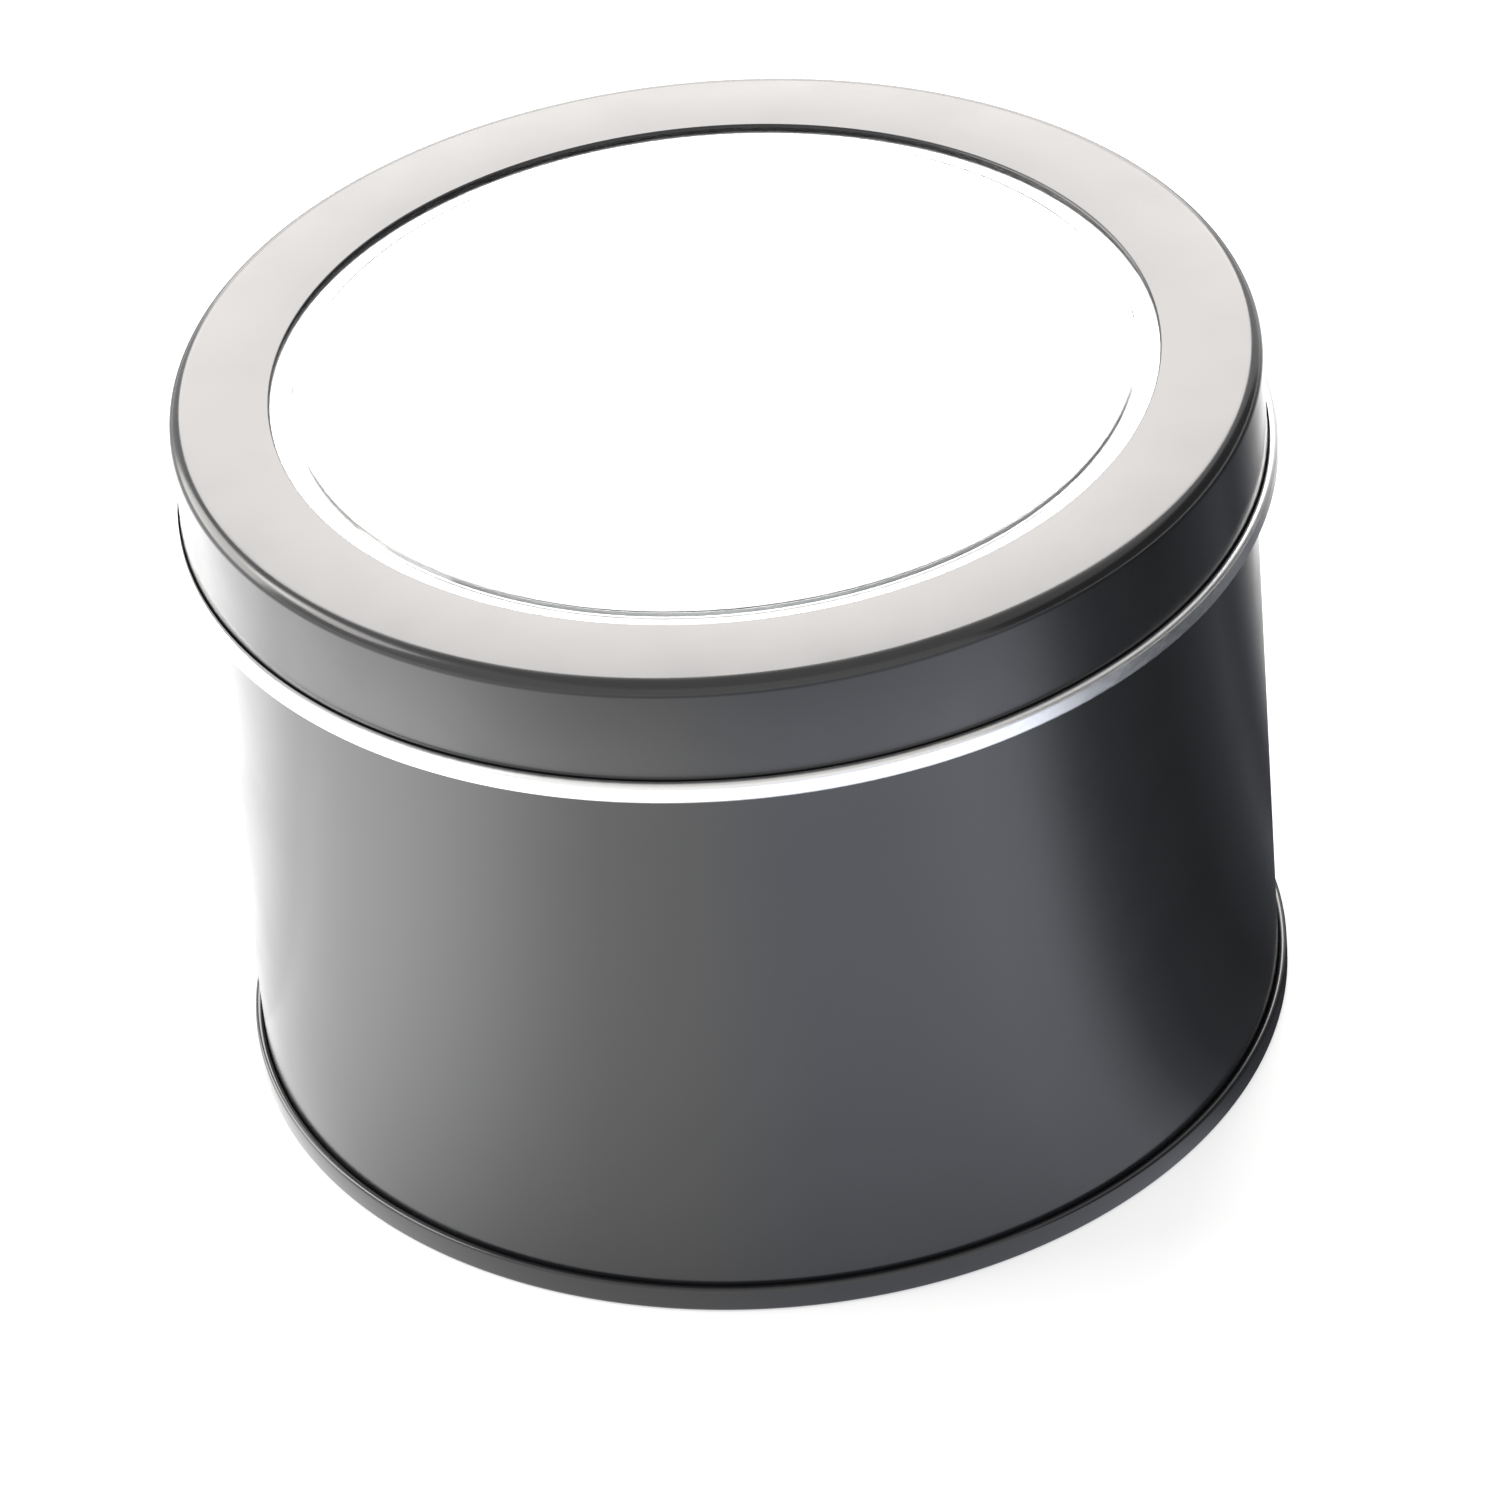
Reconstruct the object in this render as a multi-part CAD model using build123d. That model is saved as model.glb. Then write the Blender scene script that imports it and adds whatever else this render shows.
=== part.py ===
from build123d import *
from typing import NamedTuple
import math
import os

# A round slip-lid tin with a clear window in its lid.
# Every metal piece is thin sheet, drawn or rolled round the tin's axis, so each one is the section
# of a folded sheet turned about Z. Z is the tin's axis, and z = 0 is the surface that the tin stands on.
# In a section x is the distance from the axis and y is the height. All sizes are in millimetres.

# Driving dimensions
body_radius = 49.7  # outside of the wall
tin_height = 72.3  # from the table to the top of the lid
lid_height = 12.4  # from the top of the lid to the underside of its curl
window_rim = 9.53  # from the outside of the skirt to the hole for the window

# Sheets
lid_sheet = 0.25
body_sheet = 0.25
end_sheet = 0.25
ring_sheet = 0.25
window_sheet = 0.3

# Clearances
slip_clearance = 0.25  # the wall's curled mouth inside the ring's flange
lid_seat_gap = 0.2  # the mouth below the retaining ring
press_gap = 0.03  # the retaining ring inside the skirt
seam_gap = 0.03  # between neighbouring layers of the double seam
disc_edge_gap = 0.1  # the edge of the window's disc inside the bend of the shoulder

# Lid
shoulder_radius = 1.4  # outside radius between plate and skirt
lip_depth = 0.5  # from the top of the plate to the edge of the turned-down lip
flare_height = 2.6  # the last part of the skirt, which swings out before the curl
flare_swing = 0.2
lid_curl_width = 1.05  # the curl is rolled, then pressed to an oval
lid_curl_height = 2.2
lid_curl_top_turn = 110  # degrees, from its outer side to the free edge

# Retaining ring
ring_ledge = 2.5  # how far it shows inside the hole for the window
ring_hem_depth = 0.9  # the turned-down edge that shows through the window
ring_corner_share = 0.5  # its rounded corner under the shoulder, of the shoulder's radius
ring_flange = 3.0  # from the disc down to the edge of the flange inside the skirt

# Window
window_rise = 0.35  # its middle is pressed up a little, which stiffens it
window_rise_angle = 40  # degrees
window_rise_distance = 0.8  # from the ring's inner edge out to the foot of that slope

# Wall
mouth_curl_radius = 0.35
mouth_curl_turn = 240  # degrees
hook_length = 1.75  # from the bottom of the fold to the hook's free edge
side_seam_angle = 25  # degrees round the axis, behind the right side
side_seam_width = 3.4
side_seam_end_gap = 2.5  # bare wall between the side seam and the fold or curl beyond it

# Bottom and double seam
seam_height = 2.65
cover_hook_length = 1.8  # from the top of the seam to the hook's free edge
countersink = 3.4  # from the table to the underside of the bottom's panel

quarter_turn = 90  # degrees
half_turn = 180
same_place = 1e-6

# Worked out: the wall, its mouth and the lid that slips over it
wall_inside = body_radius - body_sheet
mouth_outside = wall_inside + 2 * mouth_curl_radius
flange_inside = mouth_outside + slip_clearance
ring_outer_radius = flange_inside + ring_sheet
skirt_inside = ring_outer_radius + press_gap
lid_radius = skirt_inside + lid_sheet
plate_radius = lid_radius - shoulder_radius
window_radius = lid_radius - window_rim
ring_inner_radius = window_radius - ring_ledge
window_rise_radius = ring_inner_radius + window_rise_distance
window_top = tin_height - lip_depth
ring_top = window_top - window_sheet
mouth_height = ring_top - ring_sheet - lid_seat_gap

# Worked out: the layers of the double seam, from the wall outwards
cover_hook_inside = body_radius + seam_gap
cover_hook_outside = cover_hook_inside + end_sheet
body_hook_inside = cover_hook_outside + seam_gap
body_hook_outside = body_hook_inside + body_sheet
seaming_wall_inside = body_hook_outside + seam_gap
chuck_wall_outside = wall_inside - seam_gap
body_fold_bottom = end_sheet + seam_gap


class Bend(NamedTuple):
    """A bend of the sheet. Each side is drawn as a few flats; a side without any gets a sharp corner."""

    inside_radius: float
    angle: float  # degrees, turning left where it is positive
    outer_flats: int = 0
    inner_flats: int = 0


def sheet_side(start, heading, steps, thickness, left):
    """The corners of one side of a folded sheet's section. A step is a straight length or a Bend."""
    here = start if left else start + heading.rotate(Axis.Z, -quarter_turn) * thickness
    corners = [here]
    for step in steps:
        if not isinstance(step, Bend):
            here = here + heading * step
            continue
        outer = (step.angle < 0) == left
        radius = step.inside_radius + (thickness if outer else 0)
        flats = step.outer_flats if outer else step.inner_flats
        spoke = heading.rotate(Axis.Z, math.copysign(quarter_turn, -step.angle)) * radius
        centre = here - spoke
        if flats:
            corners += [centre + spoke.rotate(Axis.Z, step.angle * i / flats) for i in range(flats + 1)]
        else:
            reach = radius * math.tan(math.radians(abs(step.angle) / 2))
            corners.append(here + heading * reach)
        here = centre + spoke.rotate(Axis.Z, step.angle)
        heading = heading.rotate(Axis.Z, step.angle)
    return corners + [here]


def sheet_section(start, heading, steps, thickness, curl=None):
    """Section of a sheet that follows the steps, with its metal on the right of the way it goes.

    The steps of a curl at its end start with a Bend. A curl is rolled shut, so only the side that is
    on the outside of the curl follows it.
    """
    start = Vector(*start)
    left_steps = steps + curl if curl and curl[0].angle < 0 else steps
    right_steps = steps + curl if curl and curl[0].angle > 0 else steps
    left = sheet_side(start, heading, left_steps, thickness, True)
    right = sheet_side(start, heading, right_steps, thickness, False)
    corners = []
    for corner in left + right[::-1]:
        if not corners or (corner - corners[-1]).length > same_place:
            corners.append(corner)
    return make_face(Polyline(corners, close=True))


def turned(section):
    """The solid that a section makes when it is turned about the tin's axis."""
    return revolve(Plane.XZ * section, Axis.Z)


out = Vector(1, 0)
up = Vector(0, 1)
down = Vector(0, -1)


def lid_shell():
    """The lid: lip, plate, shoulder, skirt, flare and curl, from the hole outwards and down."""
    swing = 2 * math.atan(flare_swing / flare_height)
    flare_radius = flare_height / math.sin(swing)
    curl_radius = lid_curl_width / 2
    curl_inside = curl_radius - lid_sheet
    flare_bottom = tin_height - lid_height + curl_radius - curl_inside * math.sin(swing)
    steps = [
        lip_depth - lid_sheet,
        Bend(0, -quarter_turn),
        plate_radius - window_radius - lid_sheet,
        Bend(shoulder_radius - lid_sheet, -quarter_turn, 3, 1),
        tin_height - shoulder_radius - flare_bottom - flare_height,
        Bend(flare_radius, math.degrees(swing), 1, 1),
    ]
    curl = [
        Bend(curl_inside, half_turn - math.degrees(swing), 3),
        lid_curl_height - lid_curl_width,
        Bend(curl_inside, lid_curl_top_turn, 2),
    ]
    return turned(sheet_section((window_radius, window_top), up, steps, lid_sheet, curl))


def window_disc():
    """The clear disc: its raised middle, and the flat edge held between the lid's lip and the ring."""
    slope = math.radians(window_rise_angle)
    bend_reach = window_sheet * math.tan(slope / 2)
    steps = [
        window_rise_radius - window_rise / math.tan(slope) - bend_reach,
        Bend(0, -window_rise_angle),
        window_rise / math.sin(slope) - bend_reach,
        Bend(0, window_rise_angle),
        plate_radius - disc_edge_gap - window_rise_radius,
    ]
    return turned(sheet_section((0, window_top + window_rise), out, steps, window_sheet))


def window_retaining_ring():
    """The inner ring: hem at the window, seat for the disc, and the flange pressed into the skirt."""
    corner_radius = ring_corner_share * shoulder_radius
    steps = [
        ring_hem_depth - ring_sheet,
        Bend(0, -quarter_turn),
        ring_outer_radius - ring_inner_radius - ring_sheet - corner_radius,
        Bend(corner_radius - ring_sheet, -quarter_turn, 1, 1),
        ring_flange - corner_radius,
    ]
    start = (ring_inner_radius, ring_top - ring_hem_depth)
    return turned(sheet_section(start, up, steps, ring_sheet))


def side_seam():
    """The wall's lock seam: two more layers of sheet on the inside, short of both ends."""
    low = body_fold_bottom + hook_length + side_seam_end_gap
    high = mouth_height - 2 * mouth_curl_radius - side_seam_end_gap
    thick = 2 * body_sheet
    middle = Vector(wall_inside - thick / 2, 0, (low + high) / 2)
    strip = Pos(middle) * Box(thick + body_sheet, side_seam_width, high - low)
    inside_wall = Pos(0, 0, low) * Cylinder(
        wall_inside + body_sheet / 2, high - low, align=(Align.CENTER, Align.CENTER, Align.MIN)
    )
    return Rot(0, 0, side_seam_angle) * (strip & inside_wall)


def body_wall():
    """The wall: hook and fold in the double seam, the wall itself, and the curl at the mouth."""
    steps = [
        hook_length - body_sheet,
        Bend(0, -quarter_turn),
        body_hook_outside - wall_inside - 2 * body_sheet,
        Bend(0, -quarter_turn),
        mouth_height - mouth_curl_radius - body_fold_bottom - body_sheet,
    ]
    curl = [Bend(mouth_curl_radius - body_sheet, -mouth_curl_turn, 3)]
    start = (body_hook_outside, body_fold_bottom + hook_length)
    return turned(sheet_section(start, down, steps, body_sheet, curl)) + side_seam()


def bottom_end():
    """The bottom: panel, chuck wall, the fold it stands on, seaming wall and hook."""
    steps = [
        chuck_wall_outside - end_sheet,
        Bend(0, -quarter_turn),
        countersink - end_sheet,
        Bend(0, quarter_turn),
        seaming_wall_inside - chuck_wall_outside,
        Bend(0, quarter_turn),
        seam_height - 2 * end_sheet,
        Bend(0, quarter_turn),
        seaming_wall_inside - cover_hook_outside,
        Bend(0, quarter_turn),
        cover_hook_length - end_sheet,
    ]
    start = (0, countersink + end_sheet)
    return turned(sheet_section(start, out, steps, end_sheet))


nodes = {
    "lid_shell": lid_shell,
    "window_disc": window_disc,
    "window_retaining_ring": window_retaining_ring,
    "body_wall": body_wall,
    "bottom_end": bottom_end,
}

os.makedirs("parts", exist_ok=True)
for name, make in nodes.items():
    solid = make()
    export_step(solid, f"parts/{name}.step")
    print(name, "volume", round(solid.volume, 1), "mm3")
print("across the lid's curl", round(2 * (lid_radius + flare_swing + lid_curl_width - lid_sheet), 2))
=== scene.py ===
# %% [markdown]
# # A round slip-lid tin with a clear window in its lid
# The tin is made of thin tinplate: a wall, a bottom folded onto it, and a lid that slips over its
# mouth. Each piece is one sheet that goes round the tin's axis, so each one is drawn as a line,
# the middle of the sheet seen from the side, then turned about the axis and given its thickness.
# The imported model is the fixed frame. Blender counts in metres. Lengths on the tin are written in
# millimetres and multiplied by MM where they are used; the stage round the tin is in metres.

# %% Load the frame
import math
import bpy
from mathutils import Matrix, Vector


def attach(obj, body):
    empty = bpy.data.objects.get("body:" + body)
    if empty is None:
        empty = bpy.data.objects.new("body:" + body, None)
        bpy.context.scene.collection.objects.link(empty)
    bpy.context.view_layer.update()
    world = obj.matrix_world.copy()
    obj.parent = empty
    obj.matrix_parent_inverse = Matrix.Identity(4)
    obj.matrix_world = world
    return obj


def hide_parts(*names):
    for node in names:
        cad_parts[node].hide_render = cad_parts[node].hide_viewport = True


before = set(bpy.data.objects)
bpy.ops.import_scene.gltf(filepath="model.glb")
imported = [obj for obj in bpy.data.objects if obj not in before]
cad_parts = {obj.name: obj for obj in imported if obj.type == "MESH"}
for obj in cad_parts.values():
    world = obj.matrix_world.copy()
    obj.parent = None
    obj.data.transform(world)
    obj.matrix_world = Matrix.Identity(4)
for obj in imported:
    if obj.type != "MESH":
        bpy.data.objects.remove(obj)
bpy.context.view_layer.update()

# %% [markdown]
# ## Camera
# The photograph looks down on the tin from about 38 degrees, through a long lens, and the tin
# leans a little to the right in it. So the camera stands 0.8 m away, looks just above the middle of
# the base, and is rolled by a few degrees. A constraint could aim it but wouldn't roll it, so its
# three axes are worked out from three plain angles.

# %% Camera
MM = 0.001
camera_distance = 800 * MM
camera_elevation = math.radians(37.77)
camera_tilt = math.radians(1.60)  # it looks this much above the middle of the base
camera_roll = math.radians(5.39)
focal_pixels = 8158  # focal length in pixels of a picture 1500 pixels wide
picture_pixels = 1500
sensor_width = 36
nearest_seen = 10 * MM

eye = Vector((0, -math.cos(camera_elevation), math.sin(camera_elevation))) * camera_distance
ahead = -eye.normalized()
right = Vector((1, 0, 0))
tilt = Matrix.Rotation(camera_tilt, 3, right)
ahead = tilt @ ahead
roll = Matrix.Rotation(camera_roll, 3, ahead)
right = roll @ right
overhead = right.cross(ahead)
camera_axes = Matrix((right, overhead, -ahead)).transposed()
bpy.ops.object.camera_add(location=eye, rotation=camera_axes.to_euler())
camera = bpy.context.object
camera.data.lens = focal_pixels * sensor_width / picture_pixels
camera.data.sensor_width = sensor_width
camera.data.clip_start = nearest_seen
bpy.context.scene.camera = camera
bpy.context.scene.view_settings.view_transform = "Standard"
print("camera at", [round(v, 4) for v in eye], "lens", round(camera.data.lens, 1))

# %% [markdown]
# ## Colours and nodes
# Colours are written as they look on a screen, in hex. Shaders work with linear light, so one
# function turns them. Another adds a node to a material, with its settings and links at once. The
# nodes could be wired one call at a time, but this way a material reads as a short list.

# %% Colour and node helpers
def linear(hex_colour):
    """The linear colour of a hex colour such as "#8090A0", with a full alpha."""
    channels = [int(hex_colour[i:i + 2], 16) / 255 for i in (1, 3, 5)]
    return [c / 12.92 if c <= 0.04045 else ((c + 0.055) / 1.055) ** 2.4 for c in channels] + [1]


def add_node(tree, kind, inputs=None, **settings):
    """Adds a shader node. Each input is a value, or the output of another node to link to it."""
    made = tree.nodes.new("ShaderNode" + kind)
    for name, value in settings.items():
        setattr(made, name, value)
    for socket, value in (inputs or {}).items():
        if isinstance(value, bpy.types.NodeSocket):
            tree.links.new(value, made.inputs[socket])
        else:
            made.inputs[socket].default_value = value
    return made


def new_material(name):
    """An empty material: its node tree holds only the output."""
    material = bpy.data.materials.new(name)
    material.use_nodes = True
    material.node_tree.nodes.clear()
    return material, material.node_tree, add_node(material.node_tree, "OutputMaterial")


print("a mid grey is", [round(c, 3) for c in linear("#808080")])

# %% [markdown]
# ## Black lacquer
# The outside of the tinplate is printed flat with black lacquer before it is stamped, and then
# baked. It is a smooth dark coat: nearly black by itself, but it mirrors what is bright round it,
# most of all at a slant, which is why the lid's flat ring looks pale grey. The sheet under it is
# never quite flat, so long, low waves bend the reflections, and the coat's gloss is a little
# uneven. Both are patterns on Object coordinates, with their sizes in millimetres. A dark base
# under a clear coat would look much the same, but nothing of a base shows here, so one glossy
# layer is enough.

# %% Black lacquer
lacquer_ior = 1.65  # a varnish has about 1.5; raised until it mirrors as strongly as the real one
lacquer_roughness = (0.16, 0.24)  # in the smoothest and the dullest patches
sheet_wave = 22  # mm between the low waves of the sheet
sheet_wave_height = 0.02 * MM
gloss_patch = 9  # mm across the patches of uneven gloss
orange_peel = 0.9  # mm between the bumps of the coat
orange_peel_height = 0.0006 * MM
noise_low, noise_high = 0.3, 0.7  # nearly all values of a noise lie between these


def black_lacquer():
    material, tree, output = new_material("baked_black_lacquer")
    place = add_node(tree, "TexCoord").outputs["Object"]
    waves = add_node(tree, "TexNoise", {"Vector": place, "Scale": 1 / (sheet_wave * MM), "Detail": 1.0})
    peel = add_node(tree, "TexNoise", {"Vector": place, "Scale": 1 / (orange_peel * MM), "Detail": 2.0})
    patches = add_node(tree, "TexNoise", {"Vector": place, "Scale": 1 / (gloss_patch * MM), "Detail": 4.0})
    wavy = add_node(tree, "Bump", {"Height": waves.outputs["Fac"], "Distance": sheet_wave_height})
    bumpy = add_node(tree, "Bump", {
        "Height": peel.outputs["Fac"], "Distance": orange_peel_height, "Normal": wavy.outputs["Normal"],
    })
    roughness = add_node(tree, "MapRange", {
        "Value": patches.outputs["Fac"], "From Min": noise_low, "From Max": noise_high,
        "To Min": lacquer_roughness[0], "To Max": lacquer_roughness[1],
    })
    colour = add_node(tree, "ValToRGB", {"Fac": patches.outputs["Fac"]})
    colour.color_ramp.elements[0].color = linear("#1C1D20")
    colour.color_ramp.elements[1].color = linear("#242528")
    lacquer = add_node(tree, "BsdfPrincipled", {
        "Base Color": colour.outputs["Color"],
        "Roughness": roughness.outputs["Result"],
        "IOR": lacquer_ior,
        "Normal": bumpy.outputs["Normal"],
    })
    tree.links.new(lacquer.outputs["BSDF"], output.inputs["Surface"])
    return material


lacquer = black_lacquer()
print("made", lacquer.name)

# %% [markdown]
# ## Bare tinplate
# The inside of the sheet has no lacquer. It is steel with a bright coat of tin, rolled smooth, so
# it mirrors softly. It shows where the sheet turns its inside out: on the curl round the lid's lower
# edge, and on the ring under the window. Very fine lines from the rollers blur it along one way.
# Anisotropy could do that, but it has no lines to see from near by, so a stretched noise changes
# the roughness instead.

# %% Bare tinplate
roller_line = 0.6  # mm between the rollers' lines, coarser than the real ones, which wouldn't show
roller_stretch = 0.04  # the pattern changes this much slower along the lines
tinplate_roughness = (0.28, 0.40)


def bare_tinplate():
    material, tree, output = new_material("bare_bright_tinplate")
    place = add_node(tree, "TexCoord").outputs["Object"]
    stretched = add_node(tree, "Mapping", {"Vector": place, "Scale": (1, roller_stretch, 1)})
    lines = add_node(tree, "TexNoise", {
        "Vector": stretched.outputs["Vector"], "Scale": 1 / (roller_line * MM), "Detail": 3.0,
    })
    roughness = add_node(tree, "MapRange", {
        "Value": lines.outputs["Fac"], "From Min": noise_low, "From Max": noise_high,
        "To Min": tinplate_roughness[0], "To Max": tinplate_roughness[1],
    })
    tin = add_node(tree, "BsdfPrincipled", {
        "Base Color": linear("#EFF0F1"), "Metallic": 1.0, "Roughness": roughness.outputs["Result"],
    })
    tree.links.new(tin.outputs["BSDF"], output.inputs["Surface"])
    return material


tinplate = bare_tinplate()
print("made", tinplate.name)

# %% [markdown]
# ## Clear plastic
# The window is a disc cut from clear extruded sheet. It is glossy on both faces, lets nearly
# all light through, and is only faintly wavy. It could be a see-through skin without thickness, but
# as a solid disc with real refraction it mirrors on both faces and its bent edge shows.

# %% Clear plastic
plastic_wave = 30  # mm between its faint waves
plastic_wave_height = 0.01 * MM


def clear_plastic():
    material, tree, output = new_material("clear_extruded_sheet")
    place = add_node(tree, "TexCoord").outputs["Object"]
    waves = add_node(tree, "TexNoise", {"Vector": place, "Scale": 1 / (plastic_wave * MM), "Detail": 1.0})
    wavy = add_node(tree, "Bump", {"Height": waves.outputs["Fac"], "Distance": plastic_wave_height})
    plastic = add_node(tree, "BsdfPrincipled", {
        "Base Color": linear("#FDFEFE"),
        "Roughness": 0.03,
        "IOR": 1.5,
        "Transmission Weight": 1.0,
        "Normal": wavy.outputs["Normal"],
    })
    tree.links.new(plastic.outputs["BSDF"], output.inputs["Surface"])
    return material


plastic = clear_plastic()
print("made", plastic.name)

# %% [markdown]
# ## Drawing a sheet
# Each metal piece starts as one point of the sheet's edge, in the plane y = 0. Extruding the point
# draws a straight run, and spinning it about the middle of a bend draws the bend. The whole line
# is then spun once round the tin's axis, and Solidify gives it the sheet's thickness, half on each
# side. The line is the middle of the sheet, so each radius here is that of the middle. A cylinder
# could be inset and extruded into these shapes too, but a drawn line keeps every bend at its real
# radius and the sheet equally thick all over, as folding does.

# %% Start and draw a sheet
turn_steps = 240  # how many facets go round the tin
bend_step = math.radians(12)  # the turn between two points of a bend


def start_sheet(name, radius, height):
    """A new object whose mesh is one point, at a distance from the axis and a height in millimetres."""
    bpy.ops.object.select_all(action="DESELECT")
    bpy.ops.mesh.primitive_plane_add(size=MM, location=(radius * MM, 0, height * MM))
    piece = bpy.context.object
    piece.name = piece.data.name = name
    bpy.ops.object.transform_apply(location=True)
    bpy.ops.object.mode_set(mode="EDIT")
    bpy.ops.mesh.select_all(action="SELECT")
    bpy.ops.mesh.merge(type="CENTER")
    return piece


def draw_sheet(radius, height, heading, steps):
    """Draws the sheet's line on from its point. A step is a straight length, or (radius, angle) of a
    bend, with a left turn positive. Lengths are in millimetres and angles in degrees."""
    here = Vector((radius, 0, height)) * MM
    heading = math.radians(heading)
    for step in steps:
        ahead = Vector((math.cos(heading), 0, math.sin(heading)))
        if not isinstance(step, tuple):
            bpy.ops.mesh.extrude_vertices_move(TRANSFORM_OT_translate={"value": ahead * step * MM})
            here = here + ahead * step * MM
            continue
        bend_radius, turn = step[0] * MM, math.radians(step[1])
        left = Vector((-ahead.z, 0, ahead.x))
        middle = here + left * math.copysign(bend_radius, turn)
        count = math.ceil(abs(turn) / bend_step)
        bpy.ops.mesh.spin(steps=count, angle=turn, center=middle, axis=(0, 1, 0))
        here = middle + Matrix.Rotation(turn, 3, (0, -1, 0)) @ (here - middle)
        heading += turn


print("facets round the tin", turn_steps)

# %% Turn a sheet about the axis
merge_distance = 0.001 * MM
sharp_angle = math.radians(35)  # a sharper edge than this stays sharp


def turn_sheet(piece, thickness, first_face, outside, materials):
    """Turns the drawn line about the tin's axis and gives it thickness. The first material is for
    the side that faces outside, a direction given for the face nearest to first_face."""
    bpy.ops.mesh.select_all(action="SELECT")
    bpy.ops.mesh.spin(steps=turn_steps, angle=2 * math.pi, center=(0, 0, 0), axis=(0, 0, 1))
    bpy.ops.mesh.select_all(action="SELECT")
    bpy.ops.mesh.remove_doubles(threshold=merge_distance)
    bpy.ops.mesh.normals_make_consistent(inside=False)
    bpy.ops.object.mode_set(mode="OBJECT")
    nearest = min(piece.data.polygons, key=lambda face: (face.center - first_face).length)
    if nearest.normal.dot(outside) < 0:
        bpy.ops.object.mode_set(mode="EDIT")
        bpy.ops.mesh.flip_normals()
        bpy.ops.object.mode_set(mode="OBJECT")
    for material in materials:
        piece.data.materials.append(material)
    thickening = piece.modifiers.new("thickness of the sheet", "SOLIDIFY")
    thickening.thickness = thickness * MM
    thickening.offset = 0
    thickening.use_even_offset = True
    thickening.material_offset = thickening.material_offset_rim = len(materials) - 1
    bpy.ops.object.modifier_apply(modifier=thickening.name)
    bpy.ops.object.shade_smooth_by_angle(angle=sharp_angle)


def sheet_piece(name, radius, height, heading, steps, thickness, materials):
    """A turned piece of sheet. Its left-hand side, in the way it is drawn, gets the first material."""
    piece = start_sheet(name, radius, height)
    draw_sheet(radius, height, heading, steps)
    along = Vector((math.cos(math.radians(heading)), 0, math.sin(math.radians(heading))))
    first_face = Vector((radius, 0, height)) * MM + along * steps[0] / 2 * MM
    turn_sheet(piece, thickness, first_face, Vector((-along.z, 0, along.x)), materials)
    corners = [Vector(corner) for corner in piece.bound_box]
    print(name, "faces", len(piece.data.polygons), "lowest", [round(v / MM, 2) for v in corners[0]],
          "highest", [round(v / MM, 2) for v in corners[6]])
    return piece


print("edges stay sharp above", round(math.degrees(sharp_angle)), "degrees")

# %% [markdown]
# ## Lid
# The lid is drawn from one disc of sheet. From the hole outwards it has a lip turned down round the
# window, the flat ring, a rounded shoulder, the skirt, a slight flare, and a curl that rolls the
# sheet's edge outwards and up, pressed to an oval. On the curl it is the inside of the sheet that
# shows, so it is bright, and the lid's black outside ends in the crevice above it. The curl could be
# a torus set against the skirt, but then it would not be hollow, nor end in a free edge.

# %% Lid
sheet = 0.25  # thickness of all the metal
lid_top = 72.3
skirt_radius = 50.93
window_radius = 41.4
lip_depth = 0.5
lip_bend = 0.2
shoulder_radius = 1.4
curl_bottom = 59.95
curl_width = 1.04
curl_height = 2.15
curl_end_turn = 115  # degrees, from its outer side to the free edge
flare_height = 2.6
flare_angle = 8.8  # degrees

plate_height = lid_top - sheet / 2
lip_radius = window_radius + sheet / 2
skirt_middle = skirt_radius - sheet / 2
shoulder_bend = shoulder_radius - sheet / 2
curl_bend = curl_width / 2 - sheet / 2
flare_bend = flare_height / math.sin(math.radians(flare_angle))
flare_bottom = curl_bottom + sheet / 2 + curl_bend * (1 - math.sin(math.radians(flare_angle)))
lid_steps = [
    lip_depth - sheet / 2 - lip_bend,
    (lip_bend, -90),
    skirt_middle - shoulder_bend - lip_radius - lip_bend,
    (shoulder_bend, -90),
    plate_height - shoulder_bend - flare_bottom - flare_height,
    (flare_bend, flare_angle),
    (curl_bend, 180 - flare_angle),
    curl_height - curl_width,
    (curl_bend, curl_end_turn),
]
lid = sheet_piece("lid", lip_radius, lid_top - lip_depth, 90, lid_steps, sheet, [lacquer, tinplate])
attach(lid, "lid")
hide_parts("lid_shell")

# %% [markdown]
# ## Ring that holds the window
# A second, inner ring holds the window's disc from below. Its flange is pressed into the skirt, its
# flat part carries the disc, and its inner edge is turned down, so that it isn't sharp. It is bare
# on both sides. Only its inner edge shows through the disc, but it is drawn whole, like the lid,
# because it comes into view when the lid is lifted.

# %% Retaining ring
window_sheet = 0.3
ring_top = lid_top - lip_depth - window_sheet
ring_inner_radius = 38.9
ring_hem = 0.9
ring_hem_bend = 0.5
ring_outer_radius = 50.65
ring_corner_radius = 0.7
ring_flange = 3.0

ring_start = ring_inner_radius + sheet / 2
ring_corner_bend = ring_corner_radius - sheet / 2
ring_steps = [
    ring_hem - sheet / 2 - ring_hem_bend,
    (ring_hem_bend, -90),
    ring_outer_radius - sheet / 2 - ring_corner_bend - ring_start - ring_hem_bend,
    (ring_corner_bend, -90),
    ring_flange - sheet / 2 - ring_corner_bend,
]
ring = sheet_piece("retaining_ring", ring_start, ring_top - ring_hem, 90, ring_steps, sheet, [tinplate])
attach(ring, "lid")
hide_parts("window_retaining_ring")

# %% [markdown]
# ## Window
# The disc lies against the lip. Its middle is pressed up a little, which stiffens it, and the slope
# round that middle shows as a thin grey line near the edge of the hole. A flat cylinder would do
# for a disc, but it would leave out that line, so it is drawn like the sheets, from the axis out.

# %% Window
window_rise = 0.35
window_slope = 40  # degrees
window_foot = 39.7  # radius of the foot of the slope
window_bend = 0.25
disc_radius = 49.43

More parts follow.
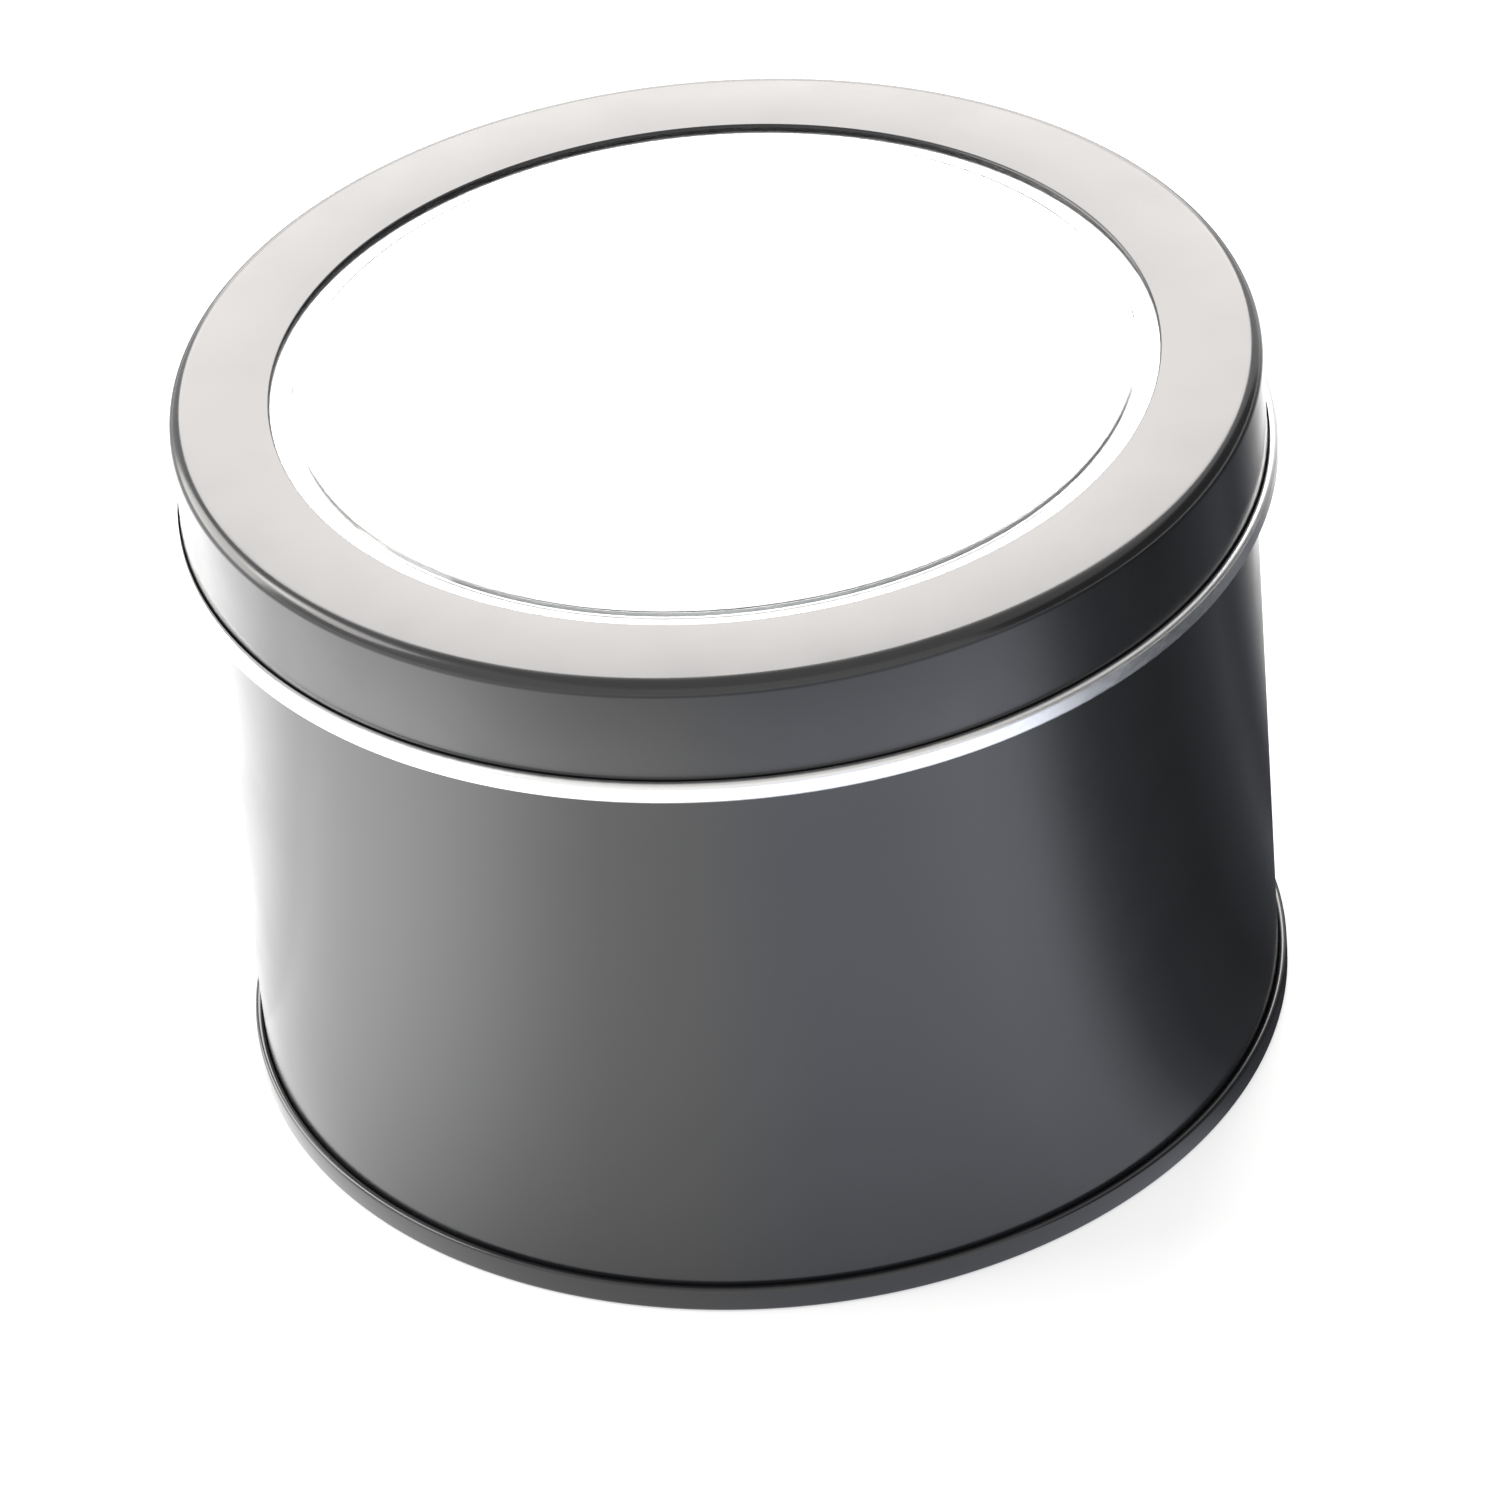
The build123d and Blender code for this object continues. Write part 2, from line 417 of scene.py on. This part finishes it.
window_reach = window_bend * math.tan(math.radians(window_slope) / 2)
slope_run = window_rise / math.tan(math.radians(window_slope))
window_steps = [
    window_foot - slope_run - window_reach,
    (window_bend, -window_slope),
    window_rise / math.sin(math.radians(window_slope)) - 2 * window_reach,
    (window_bend, window_slope),
    disc_radius - window_foot - window_reach,
]
window_height = ring_top + window_sheet / 2 + window_rise
window = sheet_piece("window", 0, window_height, 0, window_steps, window_sheet, [plastic])
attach(window, "lid")
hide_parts("window_disc")

# %% [markdown]
# ## Wall
# The wall is a strip rolled into a tube. At its mouth, under the lid, it is curled outwards, so that
# the rim isn't sharp. At the bottom it is turned out and up into a hook, and the bottom is
# folded round that hook. A plain tube would look the same with the lid on, but it would show a raw
# edge when the lid is lifted, so the hook, the wall and the curl are drawn as one line.

# %% Wall
wall_radius = 49.7
hook_radius = 50.26
hook_top = 2.03
fold_low = 0.28  # underside of the fold below the hook
mouth_top = 71.05
mouth_curl_radius = 0.35
mouth_end_turn = 270  # degrees

wall_middle = wall_radius - sheet / 2
hook_middle = hook_radius - sheet / 2
fold_bottom = fold_low + sheet / 2
fold_bend = (hook_middle - wall_middle) / 2
mouth_bend = mouth_curl_radius - sheet / 2
wall_steps = [
    hook_top - fold_bottom - fold_bend,
    (fold_bend, -180),
    mouth_top - sheet / 2 - mouth_bend - fold_bottom - fold_bend,
    (mouth_bend, -mouth_end_turn),
]
wall = sheet_piece("wall", hook_middle, hook_top, -90, wall_steps, sheet, [tinplate, lacquer])
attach(wall, "tin")
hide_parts("body_wall")

# %% [markdown]
# ## Side seam
# The strip's two ends are hooked into each other and pressed flat. Inside the tin this shows as an
# upright band, two sheets thick, short of the mouth and of the bottom. The hooks could be drawn and
# bent like the rest, but once they are pressed flat only the band's outside shows, so it is a bar
# with rounded edges, let into the wall a little, so that no gap opens behind it.

# %% Side seam
seam_angle = 25  # degrees, behind the right side
seam_width = 3.4
seam_low = 4.53
seam_high = 67.85
seam_sunk = 0.05  # how far it is let into the wall's sheet
seam_rounding = 0.2
wall_inside = wall_radius - sheet
seam_depth = 2 * sheet + seam_sunk

bpy.ops.object.select_all(action="DESELECT")
bpy.ops.mesh.primitive_cube_add(size=1)
side_seam = bpy.context.object
side_seam.name = side_seam.data.name = "side_seam"
side_seam.dimensions = Vector((seam_depth, seam_width, seam_high - seam_low)) * MM
seam_middle = Vector((wall_inside + seam_sunk - seam_depth / 2, 0, (seam_low + seam_high) / 2))
side_seam.location = seam_middle * MM
bpy.ops.object.transform_apply(location=True, scale=True)
rounding = side_seam.modifiers.new("folded edges", "BEVEL")
rounding.width = seam_rounding * MM
rounding.segments = 3
rounding.limit_method = "ANGLE"
bpy.ops.object.modifier_apply(modifier=rounding.name)
side_seam.rotation_euler.z = math.radians(seam_angle)
bpy.ops.object.transform_apply(rotation=True)
bpy.ops.object.shade_smooth_by_angle(angle=sharp_angle)
side_seam.data.materials.append(tinplate)
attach(side_seam, "tin")
print("side seam from", seam_low, "to", seam_high, "mm")

# %% [markdown]
# ## Bottom
# The bottom is stamped from a disc: a flat panel, a short wall that fits inside the tin, and an edge
# that is folded over the wall's hook and pressed flat. That fold is the double seam. Its lower bend
# is the ring that the tin stands on. A plain bead would do for the seam from outside, but the fold
# is what holds the tin together, so it is drawn with its hook round the wall's hook.

# %% Bottom
seam_top = 2.65
panel_top = 3.65
chuck_radius = 49.42  # outside of the short wall
chuck_corner_radius = 0.6
seaming_radius = 50.54  # outside of the seam
cover_hook_radius = 49.98
cover_hook_end = 0.85
stand_bend = 0.3

chuck_wall = chuck_radius - sheet / 2
chuck_bend = chuck_corner_radius - sheet / 2
seaming_wall = seaming_radius - sheet / 2
cover_hook = cover_hook_radius - sheet / 2
top_bend = (seaming_wall - cover_hook) / 2
bottom_steps = [
    chuck_wall - chuck_bend,
    (chuck_bend, -90),
    panel_top - sheet / 2 - chuck_bend - stand_bend - sheet / 2,
    (stand_bend, 90),
    seaming_wall - chuck_wall - 2 * stand_bend,
    (stand_bend, 90),
    seam_top - sheet - top_bend - stand_bend,
    (top_bend, 180),
    seam_top - sheet / 2 - top_bend - cover_hook_end,
]
bottom = sheet_piece("bottom", 0, panel_top - sheet / 2, 0, bottom_steps, sheet, [tinplate, lacquer])
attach(bottom, "tin")
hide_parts("bottom_end")

# %% [markdown]
# ## Floor and room
# The tin stands on a plain white floor in a white room. Stronger lights could turn them white, but
# they would wash out the tin too. So the floor has a glow of its own and the room is at full white
# only for rays that come from the camera, from a mirror or through the window. The rest of the
# light is plain and soft, and the floor keeps the tin's shadow.

# %% Floor and room
floor_size = 8
floor_glow = 0.55
room_light = 0.55  # the room's own light on the floor and the tin
flat = (0, 0, 0)


def stage_plane(name, size, location, rotation, material, mirrored_only):
    """A flat sheet of the stage. If it is mirrored only, it shows in reflections and nowhere else."""
    bpy.ops.object.select_all(action="DESELECT")
    bpy.ops.mesh.primitive_plane_add(size=1, location=location, rotation=rotation)
    plane = bpy.context.object
    plane.name = plane.data.name = name
    plane.scale = (size[0], size[1], 1)
    plane.data.materials.append(material)
    if mirrored_only:
        plane.visible_camera = plane.visible_diffuse = plane.visible_shadow = False
        plane.visible_transmission = plane.visible_volume_scatter = False


def seen_or_mirrored(tree):
    """Is 1 for rays that come from the camera, from a mirror or through the window, and else 0."""
    rays = add_node(tree, "LightPath").outputs
    seen = add_node(tree, "Math", {0: rays["Is Camera Ray"], 1: rays["Is Glossy Ray"]}, operation="MAXIMUM")
    seen = add_node(tree, "Math", {0: seen.outputs[0], 1: rays["Is Transmission Ray"]}, operation="MAXIMUM")
    return seen.outputs[0]


floor_paint, tree, output = new_material("white_floor")
paint = add_node(tree, "BsdfDiffuse", {"Color": linear("#F8F8F8")})
glow = add_node(tree, "Emission", {"Color": linear("#FFFFFF"), "Strength": floor_glow})
glow_seen = add_node(tree, "MixShader", {0: seen_or_mirrored(tree), 2: glow.outputs["Emission"]})
both = add_node(tree, "AddShader", {0: paint.outputs["BSDF"], 1: glow_seen.outputs["Shader"]})
tree.links.new(both.outputs["Shader"], output.inputs["Surface"])
stage_plane("floor", (floor_size, floor_size), (0, 0, 0), flat, floor_paint, False)

world = bpy.data.worlds.new("white_room")
bpy.context.scene.world = world
world.use_nodes = True
tree = world.node_tree
tree.nodes.clear()
strength = add_node(tree, "MapRange", {"Value": seen_or_mirrored(tree), "To Min": room_light, "To Max": 1.0})
white = add_node(tree, "Background", {"Color": linear("#FFFFFF"), "Strength": strength.outputs["Result"]})
add_node(tree, "OutputWorld", {"Surface": white.outputs["Background"]})
print("floor and room")

# %% [markdown]
# ## Cards for the reflections
# A black glossy tin shows little but what it mirrors, so a studio hangs cards round it. Here they
# are flat sheets with a plain glow that only mirrors see. Lamps could be mirrored too, but each
# would light the floor and the tin as well. The grey card above gives the lid's rounded
# shoulder its dark band, the white one in front gives the curl its bright one, the black one keeps
# the right side dark, and the two others brighten the tin's left edge and what the ring mirrors.

# %% Cards round the tin
def card_material(name, brightness):
    """A plain glow, for a card that only mirrors see."""
    material, tree, output = new_material(name)
    glow = add_node(tree, "Emission", {"Color": linear("#FFFCF8"), "Strength": brightness})
    tree.links.new(glow.outputs["Emission"], output.inputs["Surface"])
    return material


upright = math.radians(90)
across, along = (upright, 0, 0), (upright, 0, upright)  # upright, and facing the front or the side
cards = [  # name, brightness, size, middle, rotation
    ("card_above", 0.68, (2.2, 1.7), (0.45, -0.4, 1.15), flat),
    ("card_in_front", 1.0, (2.6, 1.2), (0.1, -1.25, 0.6), across),
    ("card_at_the_right", 0.11, (2.6, 1.3), (1.4, 0.05, 0.65), along),
    ("card_behind", 3.5, (0.8, 0.4), (0, 1.05, 0.22), across),
    ("card_at_the_left", 6.0, (0.9, 0.95), (-1.1, 0.65, 0.475), along),
]
for name, brightness, size, middle, rotation in cards:
    stage_plane(name, size, middle, rotation, card_material("glow_of_" + name, brightness), True)
print("cards round the tin", len(cards))

# %% [markdown]
# ## Card on the floor
# The wall and the skirt mirror the floor round the tin, and that gives them their broad, soft bands:
# bright at the left, mid grey in front and nearly black at the right. So one more card lies on the
# floor. Its brightness changes round the tin. It is lower next to the tin, as painted shade of the
# floor round the tin's base, and it fades far from it. It could be many small cards, but one card
# with two colour ramps, for the angle and the distance, has no edges between them.

# %% Card on the floor
table_light = 3.8  # its full brightness
table_stops = [  # degrees round the tin from the front, to the right; brightness
    (-125, 2.9), (-118, 3.3), (-105, 3.25), (-94, 2.9), (-83, 3.25), (-66, 3.55), (-55, 3.4), (-46, 3.0),
    (-36, 2.42), (-27, 2.04), (-11, 1.78), (5, 1.55), (22, 1.56), (38, 1.68), (47, 1.5), (53, 0.9),
    (58, 0.4), (65, 0.18), (72, 0.12), (82, 0.07), (94, 0.12), (103, 0.2), (109, 0.12), (113, 0.12),
    (118, 0.25), (124, 0.55), (130, 1.3), (140, 2.8), (155, 1.1), (200, 0.9), (225, 2.4),
]
# The low shares next to the tin are painted shade: the floor round the tin's base, as the wall mirrors it.
reach_stops = [  # distance from the tin's axis in mm; share of the brightness
    (55, 0.59), (70, 0.74), (85, 0.85), (100, 0.92), (118, 0.9), (130, 1.08), (155, 1.13), (172, 0.75),
    (192, 0.5), (219, 0.4),
]
reach_limit = 250  # mm, the right end of the ramp for the distance
front = 0.25  # where a radial gradient has the tin's front
neutral = (1, 1, 1)
cool = (0.94, 0.98, 1.08)  # tint of the light from the card's right side
cool_end = 120  # degrees
card_lift = 0.1 * MM  # it lies just above the floor


def fill_ramp(ramp, stops):
    """Gives a colour ramp its stops, each a position from 0 to 1 and a colour."""
    stops = sorted(stops)
    elements = ramp.color_ramp.elements
    while len(elements) < len(stops):
        elements.new(0.5)
    for element, (position, colour) in zip(elements, stops):
        element.position = position
        element.color = (*colour, 1)


table_card, tree, output = new_material("card_on_the_floor")
place = add_node(tree, "TexCoord").outputs["Object"]
around = add_node(tree, "TexGradient", {"Vector": place}, gradient_type="RADIAL")
ramp = add_node(tree, "ValToRGB", {"Fac": around.outputs["Fac"]})
stops = []
for degrees, brightness in table_stops:
    tint = cool if 0 < degrees < cool_end else neutral
    stops.append(((front + degrees / 360) % 1, [brightness / table_light * channel for channel in tint]))
fill_ramp(ramp, stops)
length = add_node(tree, "VectorMath", {0: place}, operation="LENGTH")
reach = add_node(tree, "MapRange", {"Value": length.outputs["Value"], "From Max": reach_limit * MM})
# This ramp paints the floor's shade next to the tin's base, and the fall-off far from it.
shade_and_fade_by_reach = add_node(tree, "ValToRGB", {"Fac": reach.outputs["Result"]})
fill_ramp(shade_and_fade_by_reach, [(distance / reach_limit, [share] * 3) for distance, share in reach_stops])
strength = add_node(tree, "Math", {0: shade_and_fade_by_reach.outputs["Color"], 1: table_light}, operation="MULTIPLY")
glow = add_node(tree, "Emission", {"Color": ramp.outputs["Color"], "Strength": strength.outputs[0]})
tree.links.new(glow.outputs["Emission"], output.inputs["Surface"])
stage_plane("card_on_the_floor", (1, 1), (0, 0, card_lift), flat, table_card, True)
print("card on the floor", len(stops), "stops round the tin")

# %% [markdown]
# ## Lights
# Two large soft lights do the rest. The one behind stands where the lid's flat ring and the window
# mirror it towards the camera, which turns the ring pale grey and the window white. The one at the
# left lights the tin's side and draws a soft shadow. Small, hard lights would show as spots in the
# lacquer.

# %% Lights
aim = Vector((0, 0, 0.05))  # both face this point on the tin's axis


def soft_light(name, size, location, brightness):
    """A rectangular light that faces the tin, with the brightness of its surface."""
    facing = (aim - Vector(location)).to_track_quat("-Z", "Y").to_euler()
    bpy.ops.object.light_add(type="AREA", location=location, rotation=facing)
    light = bpy.context.object
    light.name = light.data.name = name
    light.data.shape = "RECTANGLE"
    light.data.size, light.data.size_y = size
    light.data.energy = brightness * math.pi * size[0] * size[1]
    light.data.color = linear("#FFFBF8")[:3]


soft_light("light_behind", (0.8, 0.55), (0, 0.85, 0.66), 6.75)
soft_light("light_left", (0.7, 0.5), (-1.0, 0.1, 0.78), 5.0)
